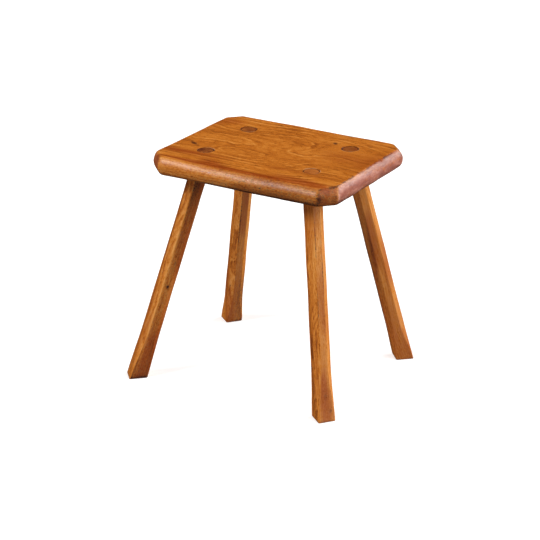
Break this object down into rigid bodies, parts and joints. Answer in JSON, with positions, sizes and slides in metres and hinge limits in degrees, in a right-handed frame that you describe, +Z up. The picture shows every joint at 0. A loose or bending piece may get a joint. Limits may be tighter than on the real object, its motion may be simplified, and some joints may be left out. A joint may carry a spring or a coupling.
{
  "type": "milking stool",
  "caption": "Small wooden milking stool: an oblong plank seat with clipped, rounded corners on splayed, shaved legs that are through-tenoned and wedged.",
  "frame": {"origin": "on the floor, at the centre of the box round the whole stool, midway between the outermost feet", "axes": "+X along the seat's long side, +Y from its front edge to its back edge, +Z up"},
  "size_m": [0.4044, 0.3516, 0.4],
  "materials": {
    "seat_wood": "worn satin varnish over honey-brown hardwood",
    "leg_wood": "worn satin varnish over shaved golden-brown hardwood",
    "wedge_wood": "varnished end grain, darkened with age"
  },
  "bodies": {
    "root": {"seat_board": "seat_wood", "leg_front_left": "leg_wood", "leg_front_right": "leg_wood", "leg_back_left": "leg_wood", "leg_back_right": "leg_wood", "wedge_front_left": "wedge_wood", "wedge_front_right": "wedge_wood", "wedge_back_left": "wedge_wood", "wedge_back_right": "wedge_wood"}
  },
  "joints": []
}
